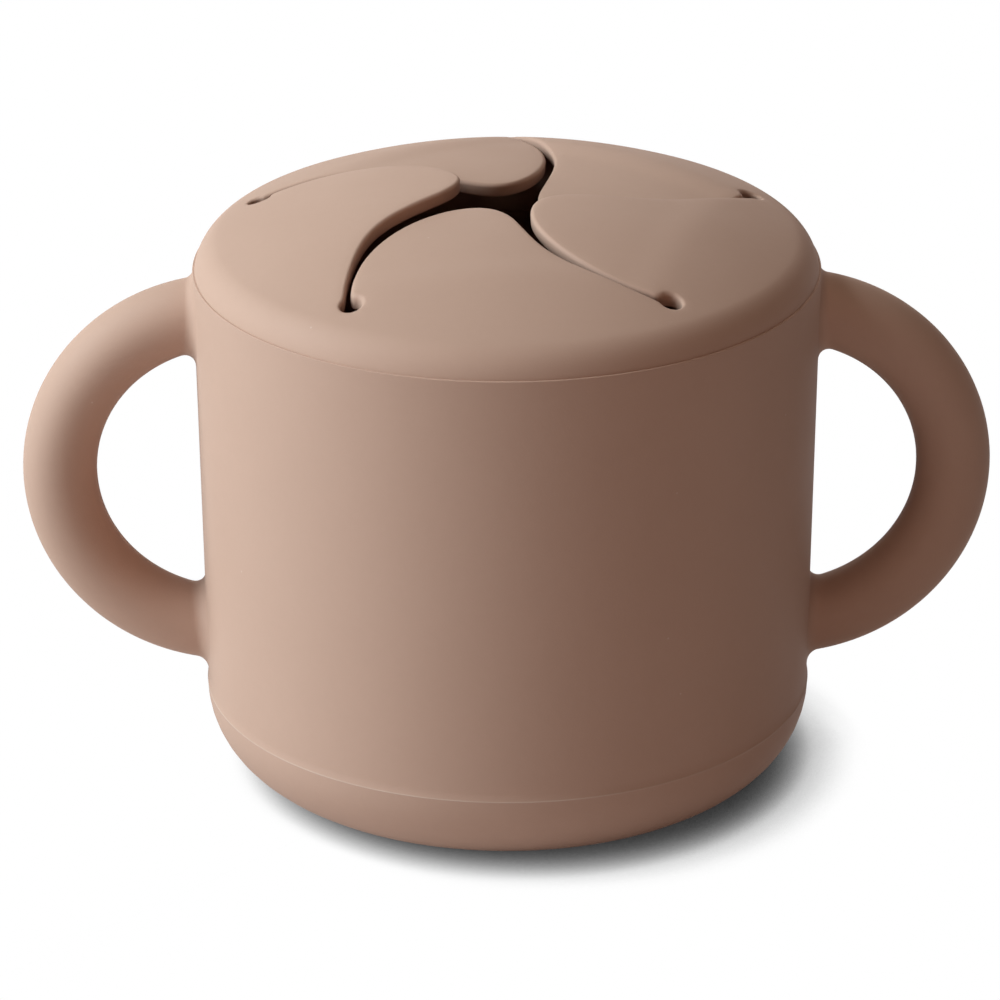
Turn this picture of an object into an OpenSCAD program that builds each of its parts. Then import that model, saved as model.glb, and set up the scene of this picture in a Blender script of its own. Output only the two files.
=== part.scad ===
// Toddler snack container: a soft cup with two ring handles, and a press-on lid
// whose five curved flaps let a hand in and keep the snacks from falling out.
// The origin is the centre of the resting face, Z is up, and one handle lies each way along X.

/* [Cup] */
// Outer diameter of the cup at its rim
cup_d = 89; // [80:0.5:100]
// How much smaller the radius is at the moulding line, low on the wall
wall_lean = 0.7; // [0:0.1:2]
// Height of the rim that the lid sits on
cup_h = 75.5; // [72:0.5:90]
// Height of the moulding line
line_h = 12.2; // [6:0.2:14]
// How far the foot stands proud of the wall at the moulding line
line_step = 0.15; // [0.05:0.05:0.5]
// Radius of the rounded edge of the foot
foot_r = 12; // [5:0.5:14]
// Thickness of the cup's wall
wall_t = 3; // [2:0.2:4]
// Thickness of the cup's floor
floor_t = 3; // [2:0.2:5]
// Radius between the wall and the floor inside the cup
inner_r = 9.5; // [4:0.5:14]

/* [Handles] */
// Radius of a handle's ring, measured to the middle of its round bar
ring_r = 24.3; // [22:0.1:25]
// Thickness of the round bar
bar_d = 10.6; // [8:0.2:12]
// How far the ring's centre lies inside the cup's rim
ring_inset = 4.55; // [0:0.05:8]
// How far the ring's centre lies below the cup's rim
ring_drop = 31.1; // [30.5:0.1:34]

/* [Lid] */
// Height of the lid's top above the cup's rim
lid_h = 12.75; // [10:0.25:15]
// Radius of the shallow dome
dome_r = 103; // [90:1:140]
// Radius of the rounded outer edge
corner_r = 5.85; // [4.5:0.05:7]
// Thickness of the lid's sheet
lid_t = 2; // [1.5:0.1:2.6]
// How far the lid's edge stands back from the cup's rim
lid_inset = 0.2; // [0.05:0.05:0.5]
// Thickness of the plug ring under the lid
plug_t = 2.2; // [1.5:0.1:3]
// Depth of the plug ring below the cup's rim
plug_depth = 7; // [4:0.5:12]
// Clearance between the plug ring and the cup's wall
plug_gap = 0.15; // [0.05:0.05:0.4]

/* [Flaps] */
// How far in from the cup's rim the relief holes lie
hole_inset = 7.5; // [6.5:0.1:11]
// Diameter of a relief hole
hole_d = 3; // [2.4:0.2:4.4]
// How far a flap's round root reaches past the faces of the sheet
root_cover = 0.1; // [0.05:0.05:0.5]
// Clearance all round a flap's root
root_gap = 0.2; // [0.1:0.05:0.4]
// Resting droop of the front flap, in degrees
front_droop = 4.7; // [0:0.1:14]
// Resting droop of the right flap, in degrees
right_droop = 2.6; // [0:0.1:14]
// Resting droop of the back right flap, in degrees
back_right_droop = 12.3; // [0:0.1:14]
// Resting droop of the back left flap, in degrees
back_left_droop = 6.6; // [0:0.1:14]
// Resting droop of the left flap, in degrees
left_droop = 0; // [0:0.1:14]

/* [Hidden] */

$fn = 96;
silicone = [0.72, 0.59, 0.51];
// How far a cut runs past the face it opens
past = 1;

// The cup's radii, outside and inside
rim_r = cup_d / 2;
line_r = rim_r - wall_lean;
foot_flat_r = line_r - foot_r;
bore_r = rim_r - wall_t;
bore_low_r = line_r - wall_t;
mouth_z = cup_h - plug_depth - wall_t / 2;

// The middle of a handle's ring
ring_x = rim_r - ring_inset;
ring_z = cup_h - ring_drop;

// The lid's rounded edge touches the dome from inside, and its outermost face from within
lid_top_z = cup_h + lid_h;
dome_z = lid_top_z - dome_r;
lid_r = rim_r - lid_inset;
corner_x = lid_r - corner_r;
corner_z = dome_z + sqrt(pow(dome_r - corner_r, 2) - pow(corner_x, 2));
corner_tilt = atan2(corner_x, corner_z - dome_z);
plug_out_r = bore_r - plug_gap;
plug_in_r = plug_out_r - plug_t;
under_r = dome_r - lid_t;

// Five flaps: each root is the straight line between two neighbouring relief holes
flap_count = 5;
hole_circle_r = rim_r - hole_inset;
half_pitch = 180 / flap_count;
hinge_x = hole_circle_r * cos(half_pitch);
hinge_half = hole_circle_r * sin(half_pitch);
hinge_z = (dome_height(hinge_x) + dome_height(hole_circle_r) - lid_t) / 2;
root_r = dome_height(hinge_x) - hinge_z + root_cover;
root_low = -hinge_half + hole_d / 2 + root_gap;
root_high = spot(0.958, 32.4)[1];

// Where the flaps lie, counted from +X toward +Y
front_at = -90;
right_at = front_at + 2 * half_pitch;
back_right_at = front_at + 4 * half_pitch;
back_left_at = front_at + 6 * half_pitch;
left_at = front_at + 8 * half_pitch;

// Height of the dome's upper face at a distance from the axis
function dome_height(r) = dome_z + sqrt(dome_r * dome_r - r * r);

// Points along an arc in the plane of a turned profile; angles count up from +X
function arc(x, z, r, from, to, steps) =
    [for (i = [0:steps]) let (a = from + (to - from) * i / steps) [x + r * cos(a), z + r * sin(a)]];

// A point of the flap's outline: its share of the hole circle's radius, and its angle
// from the flap's middle line
function spot(share, angle) = hole_circle_r * share * [cos(angle), sin(angle)];

// Points along a smooth curve that leaves a toward b and reaches d from c
function curve(a, b, c, d, steps) =
    [for (i = [0:steps - 1]) let (t = i / steps, s = 1 - t)
        s * s * s * a + 3 * s * s * t * b + 3 * s * t * t * c + t * t * t * d];

// The flap's outline: the bulging clockwise edge, the round tip, and the hollow other edge
tip_low = spot(0.197, -40.4);
tip_high = spot(0.279, 5.1);
root_end = [hinge_x, root_high];
flap_outline = concat(
    curve(spot(1, -half_pitch), spot(0.779, -52.7), spot(0.378, -66.6), tip_low, 14),
    curve(tip_low, spot(0.16, -20.3), spot(0.203, -2.4), tip_high, 8),
    curve(tip_high, spot(0.54, 12.5), spot(0.637, 11.3), root_end, 14),
    [root_end]
);

// The solid that the cup's outside encloses
module cup_outside() {
    rotate_extrude()
        polygon(concat(
            [[0, 0]],
            arc(foot_flat_r, foot_r, foot_r, -90, 0, 12),
            [[line_r, line_h], [line_r - line_step, line_h], [rim_r, cup_h], [0, cup_h]]
        ));
}

// The hollow inside the cup, open at the top
module cup_inside() {
    low_r = bore_low_r - inner_r;
    rotate_extrude()
        polygon(concat(
            [[0, floor_t]],
            arc(low_r, floor_t + inner_r, inner_r, -90, 0, 10),
            [[bore_r, mouth_z], [bore_r, cup_h + past], [0, cup_h + past]]
        ));
}

// Wall, foot and floor
module cup_body() {
    color(silicone)
        difference() {
            cup_outside();
            cup_inside();
        }
}

// A ring of round bar, cut off where it meets the cup's wall
module handle(side) {
    color(silicone)
        difference() {
            translate([side * ring_x, 0, ring_z])
                rotate([90, 0, 0])
                    rotate_extrude()
                        translate([ring_r, 0])
                            circle(d = bar_d, $fn = 48);
            cup_outside();
        }
}

// The lid's sheet without any openings, with the plug ring under its edge
module lid_sheet() {
    seat_tilt = asin((cup_h - corner_z) / corner_r);
    rotate_extrude()
        polygon(concat(
            arc(0, dome_z, dome_r, 90, 90 - corner_tilt, 12),
            arc(corner_x, corner_z, corner_r, 90 - corner_tilt, seat_tilt, 8),
            [[plug_out_r, cup_h], [plug_out_r, cup_h - plug_depth], [plug_in_r, cup_h - plug_depth]],
            arc(0, dome_z, under_r, acos(plug_in_r / under_r), 90, 12)
        ));
}

// A straight bar along a flap's root line, or the slot that it turns in, which opens
// into the relief hole at its low end
module root_bar(radius, gap) {
    low = root_low - 3 * gap;
    high = root_high + gap;
    intersection() {
        translate([hinge_x, low, hinge_z])
            rotate([-90, 0, 0])
                cylinder(r = radius, h = high - low);
        translate([hinge_x - gap, low, hinge_z - 2 * root_r])
            cube([2 * root_r, high - low, 4 * root_r]);
    }
}

// The relief holes at the ends of the slits
module relief_holes() {
    for (i = [0:flap_count - 1])
        rotate([0, 0, front_at + (2 * i + 1) * half_pitch])
            translate([hole_circle_r, 0, cup_h])
                cylinder(d = hole_d, h = 2 * lid_h);
}

// The ring of the lid outside the flaps
module lid_rim() {
    color(silicone)
        difference() {
            lid_sheet();
            rotate([0, 0, front_at + half_pitch])
                translate([0, 0, cup_h])
                    cylinder(r = hole_circle_r, h = 2 * lid_h, $fn = flap_count);
            relief_holes();
            for (i = [0:flap_count - 1])
                rotate([0, 0, front_at + 2 * i * half_pitch])
                    root_bar(root_r + root_gap, root_gap);
        }
}

// One flap, drawn level and then let down about its root line
module flap(at, droop) {
    color(silicone)
        rotate([0, 0, at])
            translate([hinge_x, 0, hinge_z])
                rotate([0, -droop, 0])
                    translate([-hinge_x, 0, -hinge_z])
                        difference() {
                            intersection() {
                                lid_sheet();
                                union() {
                                    translate([0, 0, cup_h])
                                        linear_extrude(height = 2 * lid_h)
                                            polygon(flap_outline);
                                    root_bar(root_r, 0);
                                }
                            }
                            rotate([0, 0, -front_at])
                                relief_holes();
                        }
}

cup_body();
handle(-1);  // handle_left
handle(1);  // handle_right
lid_rim();
flap(front_at, front_droop);  // flap_front
flap(right_at, right_droop);  // flap_right
flap(back_right_at, back_right_droop);  // flap_back_right
flap(back_left_at, back_left_droop);  // flap_back_left
flap(left_at, left_droop);  // flap_left
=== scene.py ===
import math

import bmesh
import bpy
from mathutils import Matrix, Quaternion, Vector
from mathutils.geometry import delaunay_2d_cdt
from mathutils.kdtree import KDTree


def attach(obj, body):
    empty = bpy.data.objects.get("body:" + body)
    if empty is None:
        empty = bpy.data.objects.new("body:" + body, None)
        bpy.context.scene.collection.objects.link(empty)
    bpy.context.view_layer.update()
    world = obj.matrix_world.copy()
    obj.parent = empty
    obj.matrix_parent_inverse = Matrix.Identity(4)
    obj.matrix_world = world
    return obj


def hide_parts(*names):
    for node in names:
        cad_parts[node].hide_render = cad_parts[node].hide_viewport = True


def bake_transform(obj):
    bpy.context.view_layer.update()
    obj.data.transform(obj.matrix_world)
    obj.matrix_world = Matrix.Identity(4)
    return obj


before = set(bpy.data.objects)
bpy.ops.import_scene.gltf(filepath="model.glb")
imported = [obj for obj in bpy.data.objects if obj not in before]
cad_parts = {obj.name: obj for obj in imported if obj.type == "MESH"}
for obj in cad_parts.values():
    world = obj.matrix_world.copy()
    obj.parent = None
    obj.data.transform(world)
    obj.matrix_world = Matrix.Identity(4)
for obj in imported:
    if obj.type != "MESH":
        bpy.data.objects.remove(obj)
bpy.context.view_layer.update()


# ---- The silicone ----
# Cup and lid are pressed from one batch of matte silicone in a warm nude brown. The mould is
# finely blasted, so the skin has a soft grain. The pigment clouds very slightly through it. A
# paler line along the cup's mould parting is a painted highlight, standing for light caught on the
# ridge.
MM = 0.001
LINE_Z = 12.2
SILICONE_DEEP = (0.410, 0.243, 0.180, 1)
SILICONE_PALE = (0.450, 0.271, 0.203, 1)
# The tone of lint flecks, also used for the painted highlight along the moulding line
LINT_AND_HIGHLIGHT_TONE = (0.60, 0.47, 0.39, 1)
# How many of a pattern's patches lie in a metre, and its levels of detail
CLOUDS = (38, 3)
SPECKLES = (900, 2)
GRAIN = (3200, 1)
PALM_POLISH = (70, 2)
CLOUD_SHARE = 0.75
LINT_CELLS = 150
# A fleck of lint fades between these two shares of a cell
LINT_EDGE = (0.016, 0.028)
LINT_SHOWS = 0.3
# The painted highlight on the moulding line fades between these two distances from its middle
LINE_HIGHLIGHT_EDGE = (0.06 * MM, 0.14 * MM)
# How strongly the painted highlight on the moulding line shows
LINE_HIGHLIGHT_SHOWS = 0.5
GRAIN_STRENGTH = 0.35
GRAIN_HEIGHT = 0.03 * MM
MATTE = 0.7
POLISH_SMOOTHS = 0.16
SILICONE_IOR = 1.43
SPECULAR_LEVEL = 0.15


class Wire:
    """A socket of a node tree. Sums, differences and products of wires add their Math nodes."""

    def __init__(self, tree, socket):
        self.tree = tree
        self.socket = socket

    def node(self, kind, settings=None, sockets=None, output=0):
        made = self.tree.nodes.new("ShaderNode" + kind)
        for name, value in (settings or {}).items():
            setattr(made, name, value)
        for name, value in (sockets or {}).items():
            if isinstance(value, Wire):
                self.tree.links.new(value.socket, made.inputs[name])
            else:
                made.inputs[name].default_value = value
        return Wire(self.tree, made.outputs[output] if made.outputs else None)

    def __add__(self, other):
        return self.node("Math", {"operation": "ADD"}, {0: self, 1: other})

    def __sub__(self, other):
        return self.node("Math", {"operation": "SUBTRACT"}, {0: self, 1: other})

    def __rsub__(self, other):
        return self.node("Math", {"operation": "SUBTRACT"}, {0: other, 1: self})

    def __mul__(self, other):
        return self.node("Math", {"operation": "MULTIPLY"}, {0: self, 1: other})

    __radd__ = __add__
    __rmul__ = __mul__


def empty_tree(owner):
    """The start of the emptied node tree of a material or a world."""
    owner.use_nodes = True
    owner.node_tree.nodes.clear()
    return Wire(owner.node_tree, None)


def tinted(share, first, second):
    """The first colour where share is 0, and the second where it is 1."""
    return share.node("Mix", {"data_type": "RGBA"}, {0: share, 6: first, 7: second}, 2)


def graded(value, span, results):
    """Turns the two ends of a span of values into two results, and holds them beyond it."""
    ends = dict(zip(("From Min", "From Max", "To Min", "To Max"), (*span, *results)))
    return value.node("MapRange", {"clamp": True}, {"Value": value, **ends})


def silicone_skin(name):
    """Matte silicone: clouded pigment, blasted grain, palm-polished patches, lint and a painted
    line highlight.
    """
    skin = bpy.data.materials.new(name)
    start = empty_tree(skin)
    place = start.node("TexCoord", output="Object")
    clouds, speckles, grain, polish = (
        start.node("TexNoise", None, {"Vector": place, "Scale": scale, "Detail": detail}, "Fac")
        for scale, detail in (CLOUDS, SPECKLES, GRAIN, PALM_POLISH)
    )
    cells = {"Vector": place, "Scale": LINT_CELLS, "Randomness": 1}
    fleck = start.node("TexVoronoi", {"feature": "F1"}, cells, "Distance")
    lint = graded(fleck, LINT_EDGE, (LINT_SHOWS, 0))
    cloudy = clouds * CLOUD_SHARE + speckles * (1 - CLOUD_SHARE)
    pigment = tinted(cloudy, SILICONE_DEEP, SILICONE_PALE)
    pigment = tinted(lint, pigment, LINT_AND_HIGHLIGHT_TONE)
    # A painted highlight: a paler line along the moulding line, standing for light caught on the
    # ridge
    from_line = start.node("SeparateXYZ", sockets={0: place}, output="Z") - LINE_Z * MM
    from_line = start.node("Math", {"operation": "ABSOLUTE"}, {0: from_line})
    line_highlight = graded(from_line, LINE_HIGHLIGHT_EDGE, (LINE_HIGHLIGHT_SHOWS, 0))
    pigment = tinted(line_highlight * polish, pigment, LINT_AND_HIGHLIGHT_TONE)
    blasted = {"Strength": GRAIN_STRENGTH, "Distance": GRAIN_HEIGHT, "Height": grain}
    surface = start.node(
        "BsdfPrincipled",
        sockets={
            "Base Color": pigment,
            "Roughness": MATTE - polish * POLISH_SMOOTHS,
            "Normal": start.node("Bump", sockets=blasted),
            "IOR": SILICONE_IOR,
            "Specular IOR Level": SPECULAR_LEVEL,
        },
    )
    start.node("OutputMaterial", sockets={"Surface": surface})
    return skin


silicone = silicone_skin("silicone")


# ---- The cup ----
# A thick-walled soft cup of moulded silicone. The mould parts low on the wall, where the foot
# stands a hair proud, and both lips of the rim are rounded.
TURN_STEPS = 240
ROUND_STEPS = 12
WELD = 0.001
RIM_R = 44.5
RIM_Z = 75.5
WALL_T = 3.0
OUTER_LIP = 0.12
INNER_LIP = 0.9
LINE_R = 43.8
LINE_STEP = 0.15
STEP_H = 1.4
FLASH_W = 0.03
FLASH_H = 0.1
FLASH_ROUND = 0.04
FOOT_ROUND = 12.0
FLOOR_T = 3.0
INNER_ROUND = 9.5
MOUTH_Z = 67.0
MOUTH_ROUND = 20.0
SHARP = math.radians(35)


def rounded(corners, steps):
    """The path through corners of (radius, height, rounding), each corner rounded."""
    path = [Vector(corners[0][:2])]
    for before, (x, z, rounding), after in zip(corners, corners[1:], corners[2:]):
        corner = Vector((x, z))
        if not rounding:
            path.append(corner)
            continue
        back = (Vector(before[:2]) - corner).normalized()
        onward = (Vector(after[:2]) - corner).normalized()
        half = back.angle(onward) / 2
        middle = corner + (back + onward).normalized() * rounding / math.sin(half)
        first = (corner + back * rounding / math.tan(half) - middle).normalized()
        last = (corner + onward * rounding / math.tan(half) - middle).normalized()
        path.extend(middle + first.slerp(last, i / steps) * rounding for i in range(steps + 1))
    path.append(Vector(corners[-1][:2]))
    return path


def lathed(path, shape):
    """Adds the surface that a path of (radius, height) sweeps round the cup's axis."""
    corners = [shape.verts.new((x, 0, z)) for x, z in path]
    edges = [shape.edges.new(pair) for pair in zip(corners, corners[1:])]
    bmesh.ops.spin(
        shape,
        geom=corners + edges,
        cent=(0, 0, 0),
        axis=(0, 0, 1),
        angle=math.tau,
        steps=TURN_STEPS,
        use_merge=True,
    )
    bmesh.ops.remove_doubles(shape, verts=shape.verts, dist=WELD)


def moulded(shape, name, node):
    """The finished silicone piece, drawn in millimetres, that stands for a node."""
    bmesh.ops.recalc_face_normals(shape, faces=shape.faces)
    bmesh.ops.scale(shape, vec=(MM, MM, MM), verts=shape.verts)
    mesh = bpy.data.meshes.new(name)
    shape.to_mesh(mesh)
    shape.free()
    mesh.shade_smooth()
    mesh.set_sharp_from_angle(angle=SHARP)
    mesh.materials.append(silicone)
    made = bpy.data.objects.new(name, mesh)
    bpy.context.scene.collection.objects.link(made)
    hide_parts(node)
    return made


cup_profile = [
    (0, 0, 0),
    (LINE_R, 0, FOOT_ROUND),
    (LINE_R, LINE_Z - FLASH_H, 0),
    (LINE_R + FLASH_W, LINE_Z, FLASH_ROUND),
    (LINE_R - FLASH_W, LINE_Z + FLASH_H, 0),
    (LINE_R - LINE_STEP, LINE_Z + STEP_H, 0),
    (RIM_R, RIM_Z, OUTER_LIP),
    (RIM_R - WALL_T, RIM_Z, INNER_LIP),
    (RIM_R - WALL_T, MOUTH_Z, MOUTH_ROUND),
    (LINE_R - WALL_T, FLOOR_T, INNER_ROUND),
    (0, FLOOR_T, 0),
]
cup = bmesh.new()
lathed(rounded(cup_profile, ROUND_STEPS), cup)
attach(moulded(cup, "cup", "cup_body"), "cup")


# ---- The two ring handles ----
# Solid round bars of the same silicone, moulded on in one shot with the cup. Each root flows
# into the wall with a small fillet, tighter at the top where it nearly meets the lid.
RING_X = 39.95
RING_Z = 44.4
RING_R = 24.3
BAR_R = 5.3
BAR_STEPS = 64
# The bar is plain up to this angle either way, and meets the wall before the second one
RING_REACH = math.radians(66)
WALL_REACH = math.radians(95)
RING_STEPS = 96
HALVINGS = 40
LEAD_STEPS = 8
FILLET_STEPS = 8
# The fillets' radii: on the inside of the ring, and on its outside above and below
ROOT_INSIDE = 2.1
ROOT_TOP = 1.25
ROOT_LOW = 1.6
# The root runs on a little along the wall and into it, and ends at a depth inside the wall
TUCK_ALONG = 0.4
TUCK_IN = 0.12
TUCK_DEPTH = 1.2
TUCK_STEPS = 2
# The share of a control point in a curve that comes out round
ROUND_PULL = math.cos(math.radians(45))


def bent(first, corner, last, share):
    """A point on the round bend that leaves first toward corner and reaches last from it."""
    a, b, c = (1 - share) ** 2, 2 * ROUND_PULL * share * (1 - share), share**2
    return (first * a + corner * b + last * c) / (a + b + c)


def wall_radius(height):
    low = LINE_R - LINE_STEP
    return low + (RIM_R - low) * (height - LINE_Z) / (RIM_Z - LINE_Z)


def on_ring(reach, across, turn):
    """A point on the bar, at its distance from the ring's middle and across the ring."""
    return Vector((RING_X + reach * math.cos(turn), across, RING_Z + reach * math.sin(turn)))


def root_path(reach, across, end):
    """One line of the root, from the bar round the fillet into the wall; end is 1 for the top."""
    low, high = RING_REACH, WALL_REACH
    for _ in range(HALVINGS):
        turn = (low + high) / 2
        met = on_ring(reach, across, end * turn)
        if math.hypot(met.x, met.y) > wall_radius(met.z):
            low = turn
        else:
            high = turn
    outside = (reach - RING_R) / BAR_R
    outer = ROOT_TOP if end > 0 else ROOT_LOW
    fillet = ROOT_INSIDE + (outer - ROOT_INSIDE) * (outside + 1) / 2
    radial = Vector((math.cos(turn), 0, end * math.sin(turn)))
    away = radial * outside + Vector((0, across / BAR_R, 0))
    wall = Vector((met.x, met.y, 0)).normalized()
    away = (away - wall * away.dot(wall)).normalized()
    start = turn - fillet / reach
    leads = [RING_REACH + (start - RING_REACH) * i / LEAD_STEPS for i in range(1, LEAD_STEPS + 1)]
    path = [on_ring(reach, across, end * lead) for lead in leads]
    first = path[-1]
    last = met + away * fillet
    last = Vector((*(last.xy.normalized() * wall_radius(last.z)), last.z))
    path += [bent(first, met, last, i / FILLET_STEPS) for i in range(1, FILLET_STEPS + 1)]
    path.append(last + away * TUCK_ALONG - wall * TUCK_IN)
    path.append(met - wall * TUCK_DEPTH)
    return path


def parts_of(parts, kind):
    return [part for part in parts if isinstance(part, kind)]


def ring_handle(name, side, node):
    shape = bmesh.new()
    low_end = Matrix.Rotation(RING_REACH, 4, "Y")
    place = Matrix.Translation((RING_X, 0, RING_Z)) @ low_end @ Matrix.Translation((RING_R, 0, 0))
    bar = bmesh.ops.create_circle(shape, segments=BAR_STEPS, radius=BAR_R, matrix=place)["verts"]
    low_edges = shape.edges[:]
    high = bmesh.ops.spin(
        shape,
        geom=bar + low_edges,
        cent=(RING_X, 0, RING_Z),
        axis=(0, -1, 0),
        angle=2 * RING_REACH,
        steps=RING_STEPS,
    )["geom_last"]
    for edges, end in ((low_edges, -1), (parts_of(high, bmesh.types.BMEdge), 1)):
        spots = {}
        for corner in {corner for edge in edges for corner in edge.verts}:
            reach = math.hypot(corner.co.x - RING_X, corner.co.z - RING_Z)
            spots[corner] = root_path(reach, corner.co.y, end)
        for step in range(LEAD_STEPS + FILLET_STEPS + TUCK_STEPS):
            parts = bmesh.ops.extrude_edge_only(shape, edges=edges)["geom"]
            moved = {}
            for corner in parts_of(parts, bmesh.types.BMVert):
                old = next(o for e in corner.link_edges if (o := e.other_vert(corner)) in spots)
                moved[corner] = spots[old]
                corner.co = spots[old][step]
            spots = moved
            edges = parts_of(parts, bmesh.types.BMEdge)
            edges = [edge for edge in edges if all(corner in moved for corner in edge.verts)]
        bmesh.ops.holes_fill(shape, edges=edges)
    if side < 0:
        bmesh.ops.scale(shape, vec=(-1, 1, 1), verts=shape.verts)
    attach(moulded(shape, name, node), "cup")


ring_handle("left_handle", -1, "handle_left")
ring_handle("right_handle", 1, "handle_right")


# ---- The lid ----
# One moulding of the same silicone: a shallow dome over a plug ring that presses into the cup.
# Five slits curve in from small relief holes to an open star and leave five springy flaps.
LID_Z = 88.25
DOME_R = 103.0
DOME_Z = LID_Z - DOME_R
SHEET_T = 2.0
LID_R = 44.3
LID_ROUND = 5.85
LID_ROUND_STEPS = 8
CORNER_X = LID_R - LID_ROUND
CORNER_Z = DOME_Z + math.sqrt((DOME_R - LID_ROUND) ** 2 - CORNER_X**2)
PLUG_R = 41.35
PLUG_INNER_R = 39.15
PLUG_Z = 68.5
PLUG_ROOT = 0.3
PLUG_LIP = 0.8
DOME_STEPS = 3
SHOULDER_STEPS = 25
FLAPS = 5
FLAP_PITCH = 360 / FLAPS
FRONT = -90
HALF_PITCH = math.radians(FLAP_PITCH / 2)
HOLES_R = 37.0
HOLE_R = 1.5
HINGE_X = HOLES_R * math.cos(HALF_PITCH)
HINGE_Y = HOLES_R * math.sin(HALF_PITCH)
HINGE_Z = 81.5897
# The flap's edge on its two relief holes, from one angle to another, and its number of steps
FIRST_HOLE = (45, 150, 8)
SECOND_HOLE = (-60, -45, 2)
# The rest of the hole's rim belongs to the ring, up to where the next flap starts
RING_HOLE = (SECOND_HOLE[1], FIRST_HOLE[0] + FLAP_PITCH, 24)
# A slit's edge ends at this distance from a hole, and eases into it round a corner at an angle
FIRST_EASE = 0.9
FIRST_CORNER = 185
SECOND_EASE = 1.9
SECOND_CORNER = -72
EASE_STEPS = 6
BULGE_STEPS = 44
TIP_STEPS = 9
HOLLOW_STEPS = 40
TOP_ROUND = 0.6
TOP_STEPS = 5
UNDER_ROUND = 0.3
UNDER_STEPS = 3
# Where the flat fill of the sheet meets the turned edge, above and below
FILL_TOP_R = 39.8
FILL_UNDER_R = PLUG_INNER_R
# The fill's points lie a step apart, this far in from the turned edge, and at least this share
# of a step from the other points
FILL_STEP = 1.2
FILL_MARGIN = 0.6
FILL_CLEAR = 0.6
FILL_SLOPE = math.sin(math.radians(60))
# The seam between a flap and the ring lies this far past the root line, and ends this far from
# the middles of the holes
SEAM_PAST = 1.75
SEAM_BAND = 0.25
SEAM_X = HINGE_X + SEAM_PAST
# Marks the points of one seam apart from those of the next
SEAM_MARK = 1000
SAME_POINT = 1e-6
ON_CIRCLE = 0.01


def dome(spot, radius=DOME_R):
    return DOME_Z + math.sqrt(radius * radius - spot[0] ** 2 - spot[1] ** 2)


def turned(spot, angle):
    return Matrix.Rotation(angle, 2) @ Vector(spot)


def spot(share, degrees):
    """A point of the flap, as its share of the hole circle and its angle from the middle line."""
    return turned((HOLES_R * share, 0), math.radians(degrees))


def swept(first, second, third, last, steps):
    """Points along the smooth curve from first to last, without its first point."""
    path = []
    for i in range(1, steps + 1):
        t = i / steps
        early = first * (1 - t) ** 3 + second * 3 * (1 - t) ** 2 * t
        path.append(early + third * 3 * (1 - t) * t * t + last * t**3)
    return path


def round_hole(side, start, end, steps):
    """Points on the rim of the relief hole at one side of the flap."""
    middle = Vector((HINGE_X, side * HINGE_Y))
    angles = [math.radians(start + (end - start) * i / steps) for i in range(steps + 1)]
    return [middle + turned((HOLE_R, 0), angle) for angle in angles]


def flap_edge():
    """The free edge of a flap: past its first hole, in to the tip, and out to the second."""
    first_hole = Vector((HINGE_X, -HINGE_Y))
    second_hole = Vector((HINGE_X, HINGE_Y))
    tip_low = spot(0.197, -40.4)
    tip_high = spot(0.279, 5.1)
    root = Vector((HINGE_X, HOLES_R * 0.958 * math.sin(math.radians(32.4))))
    bulging = swept(spot(1, -36), spot(0.779, -52.7), spot(0.378, -66.6), tip_low, BULGE_STEPS)
    bulging = [p for p in bulging if (p - first_hole).length > HOLE_R + FIRST_EASE]
    tip = swept(tip_low, spot(0.16, -20.3), spot(0.203, -2.4), tip_high, TIP_STEPS)
    hollow = swept(tip_high, spot(0.54, 12.5), spot(0.637, 11.3), root, HOLLOW_STEPS)
    hollow = [p for p in hollow if (p - second_hole).length > HOLE_R + SECOND_EASE]

    def eased(first, hole, degrees, last):
        corner = hole + turned((HOLE_R, 0), math.radians(degrees))
        return [bent(first, corner, last, i / EASE_STEPS) for i in range(1, EASE_STEPS)]

    start = round_hole(-1, *FIRST_HOLE)
    end = round_hole(1, *SECOND_HOLE)
    start += eased(start[-1], first_hole, FIRST_CORNER, bulging[0])
    hollow += eased(hollow[-1], second_hole, SECOND_CORNER, end[0])
    return start + bulging + tip + hollow + end


FLAP_AT = [math.radians(FRONT + FLAP_PITCH * i) for i in range(FLAPS)]
flap_points = flap_edge()
pitch_points = flap_points + round_hole(1, *RING_HOLE)[1:-1]
star = [turned(p, at) for at in FLAP_AT for p in pitch_points]
inward = []
for before, after in zip(star[-1:] + star[:-1], star[1:] + star[:1]):
    along = (after - before).normalized()
    inward.append(Vector((along.y, -along.x)))


def star_spot(step, offset):
    return star[step] + inward[step] * offset


top_ring = [star_spot(step, TOP_ROUND) for step in range(len(star))]


def in_star(p):
    """Whether a point lies in the star, seen from above as its rounded edge leaves the top."""
    crossings = 0
    for a, b in zip(top_ring, top_ring[1:] + top_ring[:1]):
        if (a.y > p.y) != (b.y > p.y) and p.x < a.x + (b.x - a.x) * (p.y - a.y) / (b.y - a.y):
            crossings += 1
    return crossings % 2 == 1


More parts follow.
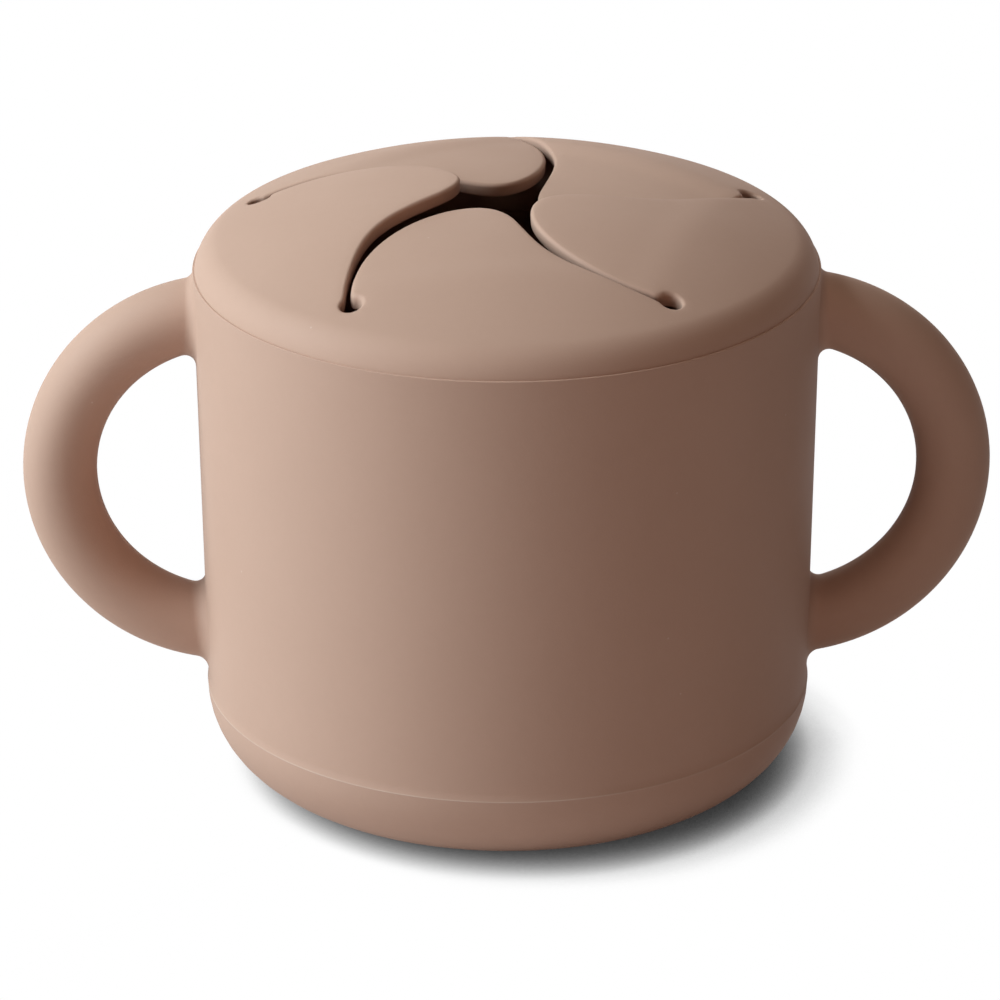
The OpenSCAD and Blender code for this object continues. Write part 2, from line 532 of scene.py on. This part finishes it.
# The points of the sheet, seen from above: the star's inner ring, the outer circle, and for
# each flap the seam where it will be cut from the ring, with a fine band on both sides of it
plan = list(top_ring)
fixed = [(step, (step + 1) % len(star)) for step in range(len(star))]
outer_start = len(plan)
plan += [turned((FILL_TOP_R, 0), math.tau * i / TURN_STEPS) for i in range(TURN_STEPS)]
fixed += [(outer_start + i, outer_start + (i + 1) % TURN_STEPS) for i in range(TURN_STEPS)]
seam_order = {}
seam_half = HINGE_Y - SEAM_PAST
seam_steps = round(2 * seam_half / FILL_STEP)
heights = [seam_half * (2 * i / seam_steps - 1) for i in range(seam_steps + 1)]
for flap, at in enumerate(FLAP_AT):
    chain = [flap * len(pitch_points)]
    for y in heights:
        chain.append(len(plan))
        plan.append(turned((SEAM_X, y), at))
    chain.append(flap * len(pitch_points) + len(flap_points) - 1)
    fixed += list(zip(chain, chain[1:]))
    for order, point in enumerate(chain):
        seam_order[point] = SEAM_MARK * (flap + 1) + order
    for y in heights[1:-1]:
        plan += [turned((SEAM_X + shift, y), at) for shift in (-SEAM_BAND, SEAM_BAND)]
crowd = KDTree(len(plan))
for i, p in enumerate(plan):
    crowd.insert(p.to_3d(), i)
crowd.balance()
rows = round(FILL_TOP_R / (FILL_STEP * FILL_SLOPE))
for row in range(-rows, rows + 1):
    for column in range(-rows, rows + 1):
        p = Vector(((column + row % 2 / 2) * FILL_STEP, row * FILL_STEP * FILL_SLOPE))
        clear = p.length < FILL_TOP_R - FILL_MARGIN
        if clear and crowd.find(p.to_3d())[2] > FILL_CLEAR * FILL_STEP and not in_star(p):
            plan.append(p)
spread, _, triangles, origins, _, _ = delaunay_2d_cdt(plan, fixed, [], 0, SAME_POINT, True)

lid = bmesh.new()
star_tag = lid.verts.layers.int.new("star")
seam_tag = lid.verts.layers.int.new("seam")
sheet = []
for p, origin in zip(spread, origins):
    corner = lid.verts.new((p.x, p.y, dome(p)))
    if origin and origin[0] < len(star):
        corner[star_tag] = origin[0] + 1
    if origin and origin[0] in seam_order:
        corner[seam_tag] = seam_order[origin[0]]
    sheet.append(corner)
for triangle in triangles:
    corners = [sheet[i] for i in triangle]
    middle = sum((c.co.xy for c in corners), Vector((0, 0))) / 3
    if not (all(c[star_tag] for c in corners) and in_star(middle)):
        lid.faces.new(corners)
bmesh.ops.delete(lid, geom=[c for c in lid.verts if not c.link_faces], context="VERTS")

# The underside is the same sheet on the inner sphere, and the star's edge is rounded down to it
edges = [e for e in lid.edges if e.is_boundary and all(c[star_tag] for c in e.verts)]
top_parts = lid.verts[:] + lid.edges[:] + lid.faces[:]
under = bmesh.ops.duplicate(lid, geom=top_parts)["geom"]
for corner in parts_of(under, bmesh.types.BMVert):
    flat = corner.co.xy
    if corner[star_tag]:
        flat = star_spot(corner[star_tag] - 1, UNDER_ROUND)
    elif flat.length > FILL_TOP_R - ON_CIRCLE:
        flat = flat.normalized() * FILL_UNDER_R
    corner.co = (*flat, dome(flat, DOME_R - SHEET_T))
bmesh.ops.reverse_faces(lid, faces=parts_of(under, bmesh.types.BMFace))


def edge_spot(step, ring):
    """A point of the star's rounded edge; rings count from the top to the underside."""
    if ring <= TOP_STEPS:
        lean = math.pi / 2 * ring / TOP_STEPS
        flat = star_spot(step, TOP_ROUND * (1 - math.sin(lean)))
        return (*flat, dome(flat) - TOP_ROUND * (1 - math.cos(lean)))
    lean = math.pi / 2 * (ring - TOP_STEPS - 1) / UNDER_STEPS
    flat = star_spot(step, UNDER_ROUND * (1 - math.cos(lean)))
    return (*flat, dome(flat, DOME_R - SHEET_T) + UNDER_ROUND * (1 - math.sin(lean)))


for ring in range(1, TOP_STEPS + UNDER_STEPS + 2):
    parts = bmesh.ops.extrude_edge_only(lid, edges=edges)["geom"]
    moved = set(parts_of(parts, bmesh.types.BMVert))
    for corner in moved:
        corner.co = edge_spot(corner[star_tag] - 1, ring)
    edges = [e for e in parts_of(parts, bmesh.types.BMEdge) if all(c in moved for c in e.verts)]

# The turned edge: the rounded shoulder, the seat on the cup's rim and the plug ring under it
shoulder = math.atan2(CORNER_X, CORNER_Z - DOME_Z)
seat = math.asin((RIM_Z - CORNER_Z) / LID_ROUND)
outline = []
dome_start = math.asin(FILL_TOP_R / DOME_R)
for i in range(DOME_STEPS):
    lean = dome_start + (shoulder - dome_start) * i / DOME_STEPS
    outline.append((DOME_R * math.sin(lean), DOME_Z + DOME_R * math.cos(lean), 0))
for i in range(SHOULDER_STEPS):
    lean = shoulder + (math.pi / 2 - seat - shoulder) * i / SHOULDER_STEPS
    edge_x = CORNER_X + LID_ROUND * math.sin(lean)
    outline.append((edge_x, CORNER_Z + LID_ROUND * math.cos(lean), 0))
outline += [
    (CORNER_X + LID_ROUND * math.cos(seat), RIM_Z, 0),
    (PLUG_R, RIM_Z, PLUG_ROOT),
    (PLUG_R, PLUG_Z, PLUG_LIP),
    (PLUG_INNER_R, PLUG_Z, PLUG_LIP),
    (FILL_UNDER_R, dome((FILL_UNDER_R, 0), DOME_R - SHEET_T), 0),
]
lathed(rounded(outline, LID_ROUND_STEPS), lid)


def is_seam(edge):
    a, b = (corner[seam_tag] for corner in edge.verts)
    return a and b and a // SEAM_MARK == b // SEAM_MARK and abs(a - b) <= 1


bmesh.ops.split_edges(lid, edges=[e for e in lid.edges if is_seam(e)])


def cut_out(start):
    """The part of the split lid that hangs together with start, as a closed shape of its own."""
    found, rest = {start}, [start]
    while rest:
        for edge in rest.pop().link_edges:
            for corner in edge.verts:
                if corner not in found:
                    found.add(corner)
                    rest.append(corner)
    lid.verts.index_update()
    kept = {corner.index for corner in found}
    part = lid.copy()
    bmesh.ops.delete(part, geom=[c for c in part.verts if c.index not in kept], context="VERTS")
    bmesh.ops.holes_fill(part, edges=[e for e in part.edges if e.is_boundary])
    bmesh.ops.triangulate(part, faces=[f for f in part.faces if len(f.verts) > 4])
    return part


def nearest(p):
    return min(lid.verts, key=lambda corner: (corner.co - Vector(p)).length)


lid_ring = cut_out(nearest((LID_R, 0, RIM_Z)))
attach(moulded(lid_ring, "lid_ring", "lid_rim"), "lid")


# ---- The five flaps ----
# Springy tongues of the lid's own sheet. Each bends near its root, between two relief holes,
# and after some use each rests with a droop of its own.
DROOPS = {"front": 4.7, "right": 2.6, "back_right": 12.3, "back_left": 6.6, "left": 0.0}
BEND = 7.0
# A distance from the lid's axis at which every flap has its sheet
TONGUE_R = 20

for (name, droop), at in zip(DROOPS.items(), FLAP_AT):
    tongue = cut_out(nearest((*turned((TONGUE_R, 0), at), dome((TONGUE_R, 0)))))
    for corner in tongue.verts:
        p = turned(corner.co.xy, -at)
        share = min(1, max(0, (HINGE_X - p.x) / BEND))
        lean = math.radians(droop) * share * share * (3 - 2 * share)
        arm = turned((p.x - HINGE_X, corner.co.z - HINGE_Z), lean)
        corner.co = (*turned((HINGE_X + arm.x, p.y), at), HINGE_Z + arm.y)
    tongue = moulded(tongue, name + "_tongue", "flap_" + name)
    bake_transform(tongue)


# ---- The table and the studio ----
# A pale table shows as white and runs on into a white backdrop. A broad soft lamp stands high on
# the left with a lower one beside it, three weak ones stand round them, and the right side of
# the room is dark.
TABLE_HALF = 3
TABLE_PAINT = (0.66, 0.60, 0.58, 1)
WHITE = (1, 1, 1, 1)
DIM_ROOM = (1, 0.6, 0.48, 1)
DIM_STRENGTH = 0.04
# The shadow as a whole, and close to the foot: how far it reaches in metres, and how much open
# sky leaves the table white; then how sharply the two together darken it
SHADOW_REACH = 0.016
SHADOW_OPEN = 0.63
CONTACT_REACH = 0.007
CONTACT_OPEN = 0.72
CONTACT_FALL = 1.15
TOWARD_KEY = (-0.9, 0.25, 1.0)
# The lamps' places, sides, watts and colours, all turned to the middle of the cup
LAMPS = {
    "key": ((-0.71, -0.02, 0.60), (0.5, 0.5), 9.7, (0.84, 1.08, 1.18)),
    "side": ((-0.84, -0.27, 0.20), (0.5, 0.4), 3.7, (0.85, 1.08, 1.18)),
    "top": ((0, 0, 0.95), (0.45, 0.45), 1.6, (1.0, 0.96, 0.82)),
    "back": ((0.0, 0.82, 0.40), (0.5, 0.4), 1.0, (1.0, 0.95, 0.85)),
    "fill": ((0.05, -0.86, 0.20), (0.5, 0.4), 0.9, (1.0, 0.66, 0.5)),
}
LAMP_AIM = Vector((0, 0, 0.05))


def seen_or_lit(start, lit, shown):
    """What lights the room, and what shows to the camera, off gloss and through glass."""
    kinds = ("Is Camera Ray", "Is Glossy Ray", "Is Transmission Ray")
    rays = [start.node("LightPath", output=kind) for kind in kinds]
    return start.node("MixShader", sockets={0: sum(rays[1:], rays[0]), 1: lit, 2: shown})


def open_sky(start, reach, enough):
    """How open the table lies to the sky toward the key lamp, from 0 up to 1 where it's enough."""
    toward = start.node("CombineXYZ", sockets=dict(zip("XYZ", Vector(TOWARD_KEY).normalized())))
    sky = start.node("AmbientOcclusion", None, {"Normal": toward, "Distance": reach}, "AO")
    return graded(sky, (0, enough), (0, 1))


def table_surface():
    """Pale paint that lights the room, seen as plain white with the shadow close under the cup."""
    paint = bpy.data.materials.new("white_table")
    start = empty_tree(paint)
    lit = start.node("BsdfDiffuse", sockets={"Color": TABLE_PAINT})
    sky = open_sky(start, SHADOW_REACH, SHADOW_OPEN)
    near = open_sky(start, CONTACT_REACH, CONTACT_OPEN)
    sky = start.node("Math", {"operation": "POWER"}, {0: sky * near, 1: CONTACT_FALL})
    shown = start.node("Emission", sockets={"Color": sky, "Strength": 1})
    start.node("OutputMaterial", sockets={"Surface": seen_or_lit(start, lit, shown)})
    return paint


table_shape = bmesh.new()
bmesh.ops.create_grid(table_shape, x_segments=1, y_segments=1, size=TABLE_HALF)
table_mesh = bpy.data.meshes.new("table")
table_shape.to_mesh(table_mesh)
table_shape.free()
table_mesh.materials.append(table_surface())
table = bpy.data.objects.new("table", table_mesh)
bpy.context.scene.collection.objects.link(table)

for name, (place, sides, watts, colour) in LAMPS.items():
    light = bpy.data.lights.new(name, "AREA")
    light.shape = "RECTANGLE"
    light.size, light.size_y = sides
    light.energy = watts
    light.color = colour
    lamp = bpy.data.objects.new(name, light)
    lamp.location = place
    lamp.rotation_mode = "QUATERNION"
    lamp.rotation_quaternion = (LAMP_AIM - Vector(place)).to_track_quat("-Z", "Y")
    bpy.context.scene.collection.objects.link(lamp)

room = bpy.data.worlds.new("room")
bpy.context.scene.world = room
start = empty_tree(room)
dim = start.node("Background", sockets={"Color": DIM_ROOM, "Strength": DIM_STRENGTH})
white = start.node("Background", sockets={"Color": WHITE, "Strength": 1})
start.node("OutputWorld", sockets={"Surface": seen_or_lit(start, dim, white)})


# ---- The camera ----
# A long lens a good arm's length away looks down on the cup, which is turned a degree.
DISTANCE = 765.0
PITCH_DOWN = math.radians(23.44)
YAW = math.radians(1.13)
ROLL = math.radians(-0.14)
AIM_Z = 39.0
FOCAL_PX = 5299.84
IMAGE_PX = 1000
AXIS_PX = 507.32
SENSOR_MM = 36
CLIP_START = 0.05
CLIP_END = 20

lens = bpy.data.cameras.new("camera")
lens.sensor_width = SENSOR_MM
lens.lens = FOCAL_PX / IMAGE_PX * SENSOR_MM
lens.shift_x = (IMAGE_PX / 2 - AXIS_PX) / IMAGE_PX
lens.clip_start = CLIP_START
lens.clip_end = CLIP_END
level = math.cos(PITCH_DOWN)
ahead = Vector((math.sin(YAW) * level, math.cos(YAW) * level, -math.sin(PITCH_DOWN)))
camera = bpy.data.objects.new("camera", lens)
camera.rotation_mode = "QUATERNION"
camera.rotation_quaternion = ahead.to_track_quat("-Z", "Y") @ Quaternion((0, 0, 1), ROLL)
camera.location = (Vector((0, 0, AIM_Z)) - ahead * DISTANCE) * MM
bpy.context.scene.collection.objects.link(camera)
bpy.context.scene.camera = camera
bpy.context.scene.view_settings.view_transform = "Standard"
